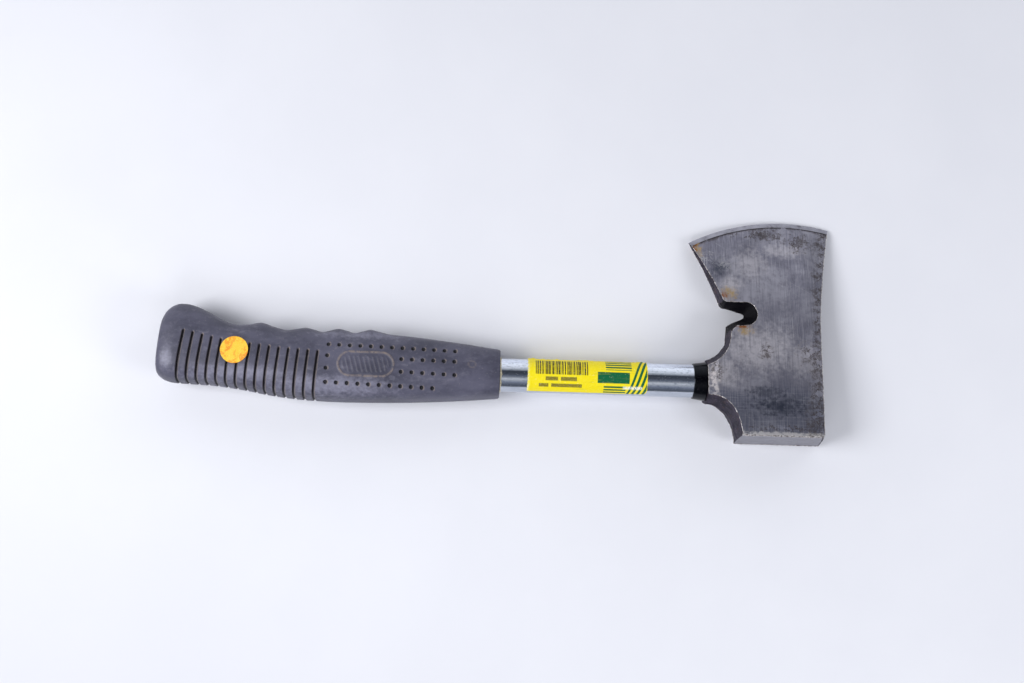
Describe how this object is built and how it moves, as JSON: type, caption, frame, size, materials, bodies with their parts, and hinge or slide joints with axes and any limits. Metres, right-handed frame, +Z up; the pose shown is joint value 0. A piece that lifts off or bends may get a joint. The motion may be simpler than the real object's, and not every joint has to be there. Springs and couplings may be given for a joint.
{
  "type": "hatchet",
  "caption": "One-handed hatchet with a forged head, nail notch, tubular steel shaft and moulded rubber grip, lying on its side as it rests.",
  "frame": {"origin": "middle of the footprint, on the surface that the hatchet lies on", "axes": "+X along the shaft from the grip to the head, within a degree; +Y towards the cutting edge, tilted down by 7.1 degrees as the hatchet rests on its edge, its cheek and the grip; +Z up"},
  "size_m": [0.3856, 0.131, 0.0318],
  "materials": {
    "head_steel": "ground cheeks with brush lines, dark forging scale on the sides, first rust",
    "shaft_chrome": "chrome plated, slightly dusty",
    "collar_plastic": "glossy black",
    "plug_steel": "turned steel",
    "plug_plastic": "plain black",
    "grip_rubber": "satin moulded rubber with dust in its slots",
    "adhesive": "cured bead, cream",
    "label_paper": "coated paper, yellow with plain green pattern",
    "sticker_paper": "mottled orange paper"
  },
  "bodies": {
    "root": {"axe_head": "head_steel", "shaft_tube": "shaft_chrome", "head_collar": "collar_plastic", "eye_plug": "plug_steel", "tube_end_plug": "plug_plastic", "grip_sleeve": "grip_rubber", "grip_mouth_adhesive": "adhesive", "wrap_label": "label_paper", "price_sticker": "sticker_paper"}
  },
  "joints": []
}
